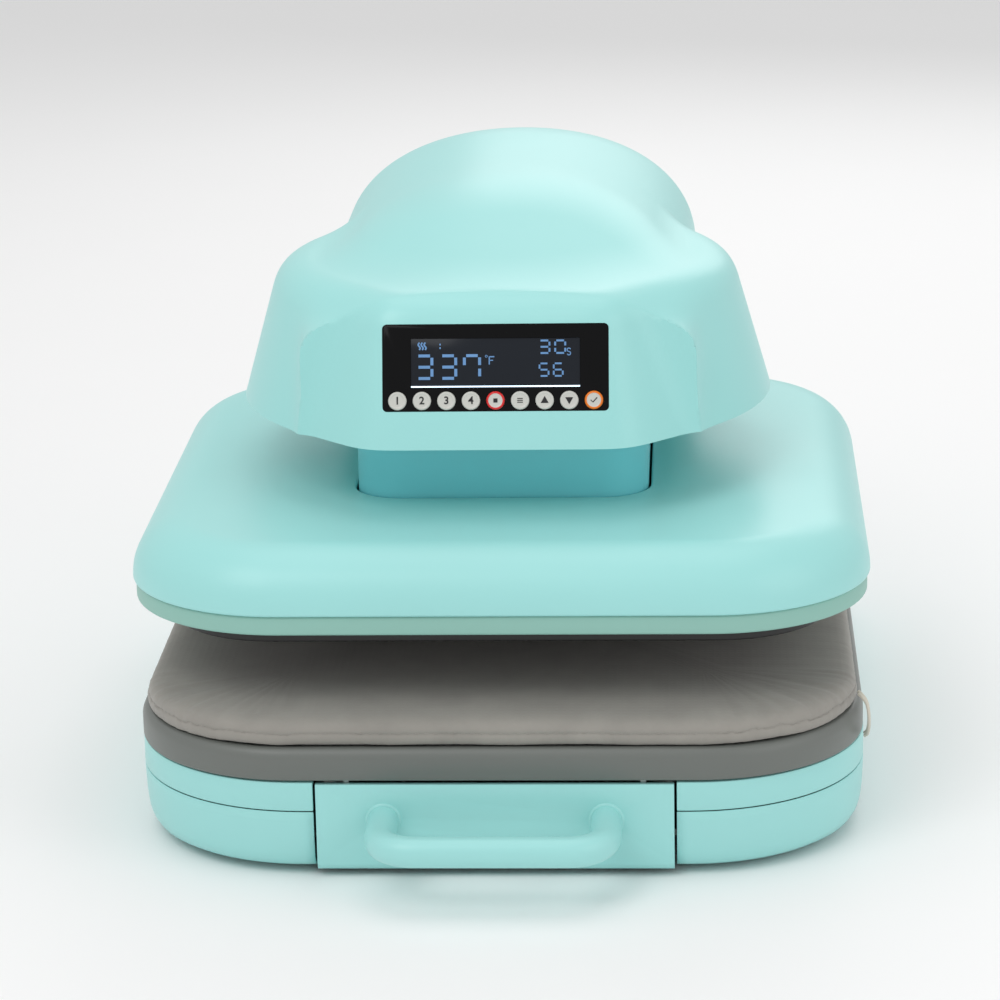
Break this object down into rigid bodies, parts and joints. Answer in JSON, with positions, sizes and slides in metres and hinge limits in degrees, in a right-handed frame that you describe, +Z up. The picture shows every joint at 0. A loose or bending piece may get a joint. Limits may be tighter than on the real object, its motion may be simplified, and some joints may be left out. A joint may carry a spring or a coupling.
{
  "type": "flat heat press",
  "caption": "Bench heat press with a motor-driven upper platen on a telescoping neck, a curved head with a keypad display, and a slide-out padded lower platen with a grab handle.",
  "frame": {"origin": "centre of the bounding box's footprint, on the surface the feet stand on", "axes": "+Z up, -Y the operator's side, +X the operator's right"},
  "size_m": [0.434, 0.6159, 0.3468],
  "materials": {
    "shell": "satin turquoise moulded ABS",
    "skirt": "grey-green moulded skirt",
    "trim": "grey moulded trim",
    "steel": "zinc-plated pressed steel",
    "shaft": "ground steel",
    "bronze": "sintered bronze",
    "motor_black": "black painted motor and gearbox",
    "platen_black": "cast aluminium with a black non-stick coating",
    "platen_bare": "cast aluminium",
    "insulation": "pressed fibre board",
    "heater": "mica sheet",
    "black_plastic": "black moulded plastic",
    "bezel": "black glossy acrylic",
    "lcd": "backlit display glass",
    "key_silver": "silver-white key cap",
    "board_green": "circuit board",
    "rubber": "black rubber foot",
    "silicone": "silicone foam",
    "fabric": "taupe-grey woven cover",
    "cord": "off-white drawstring",
    "rocker_red": "red rocker"
  },
  "bodies": {
    "root": {"base_bowl": "shell", "base_top": "shell", "base_plate": "steel", "feet": "rubber", "rail_brackets": "steel", "outer_rails": "steel", "column_frame": "steel", "column_cover": "shell", "rear_panel": "black_plastic", "power_inlet": "black_plastic", "switch_frame": "black_plastic", "power_board": "board_green", "arm_beam": "steel", "thrust_bearing": "shaft", "guide_bushes": "bronze", "gearbox": "motor_black", "motor": "motor_black", "top_housing": "shell", "underpan": "shell", "display_bezel": "bezel", "lcd_module": "lcd", "control_board": "board_green"},
    "press": {"lead_nut": "bronze", "ram_tube": "steel", "guide_rods": "shaft", "neck_front": "shell", "neck_rear": "shell", "platen_cover": "shell", "platen_skirt": "skirt", "press_plate": "steel", "insulation_board": "insulation", "heater_element": "heater", "heating_platen": "platen_black", "thermostat": "motor_black"},
    "drawer": {"drawer_front": "shell", "grab_handle": "shell", "handle_screws": "shaft", "drawer_tray": "steel", "inner_rails": "steel", "trim_ring": "trim", "lower_platen": "platen_bare", "silicone_pad": "silicone", "pad_cover": "fabric", "drawstring_1": "cord", "drawstring_2": "cord"},
    "screw": {"lead_screw": "shaft"},
    "rocker_switch": {"rocker": "rocker_red"},
    "key_1_body": {"key_1": "key_silver"},
    "key_2_body": {"key_2": "key_silver"},
    "key_3_body": {"key_3": "key_silver"},
    "key_4_body": {"key_4": "key_silver"},
    "key_5_body": {"key_5": "key_silver"},
    "key_6_body": {"key_6": "key_silver"},
    "key_7_body": {"key_7": "key_silver"},
    "key_8_body": {"key_8": "key_silver"},
    "key_9_body": {"key_9": "key_silver"}
  },
  "joints": [
    {"name": "press_travel", "type": "slide", "parent": "root", "child": "press", "axis": [0, 0, -1], "range_m": [0, 0.0317]},
    {"name": "screw_spin", "type": "hinge", "parent": "root", "child": "screw", "pos_m": [0, -0.009, 0.2], "axis": [0, 0, 1], "range_deg": [0, 2300]},
    {"name": "drawer_slide", "type": "slide", "parent": "root", "child": "drawer", "axis": [0, -1, 0], "range_m": [0, 0.25]},
    {"name": "rocker_tip", "type": "hinge", "parent": "root", "child": "rocker_switch", "pos_m": [0.022, 0.3, 0.088], "axis": [1, 0, 0], "range_deg": [-20, 0]},
    {"name": "key_1_press", "type": "slide", "parent": "root", "child": "key_1_body", "axis": [0, 0.9613, -0.2756], "range_m": [0, 0.0005], "stiffness_N_per_m": 800},
    {"name": "key_2_press", "type": "slide", "parent": "root", "child": "key_2_body", "axis": [0, 0.9613, -0.2756], "range_m": [0, 0.0005], "stiffness_N_per_m": 800},
    {"name": "key_3_press", "type": "slide", "parent": "root", "child": "key_3_body", "axis": [0, 0.9613, -0.2756], "range_m": [0, 0.0005], "stiffness_N_per_m": 800},
    {"name": "key_4_press", "type": "slide", "parent": "root", "child": "key_4_body", "axis": [0, 0.9613, -0.2756], "range_m": [0, 0.0005], "stiffness_N_per_m": 800},
    {"name": "key_5_press", "type": "slide", "parent": "root", "child": "key_5_body", "axis": [0, 0.9613, -0.2756], "range_m": [0, 0.0005], "stiffness_N_per_m": 800},
    {"name": "key_6_press", "type": "slide", "parent": "root", "child": "key_6_body", "axis": [0, 0.9613, -0.2756], "range_m": [0, 0.0005], "stiffness_N_per_m": 800},
    {"name": "key_7_press", "type": "slide", "parent": "root", "child": "key_7_body", "axis": [0, 0.9613, -0.2756], "range_m": [0, 0.0005], "stiffness_N_per_m": 800},
    {"name": "key_8_press", "type": "slide", "parent": "root", "child": "key_8_body", "axis": [0, 0.9613, -0.2756], "range_m": [0, 0.0005], "stiffness_N_per_m": 800},
    {"name": "key_9_press", "type": "slide", "parent": "root", "child": "key_9_body", "axis": [0, 0.9613, -0.2756], "range_m": [0, 0.0005], "stiffness_N_per_m": 800}
  ],
  "couplings": [
    {"joint": "screw_spin", "follows": "press_travel", "rad_per_m": 1256.6}
  ]
}
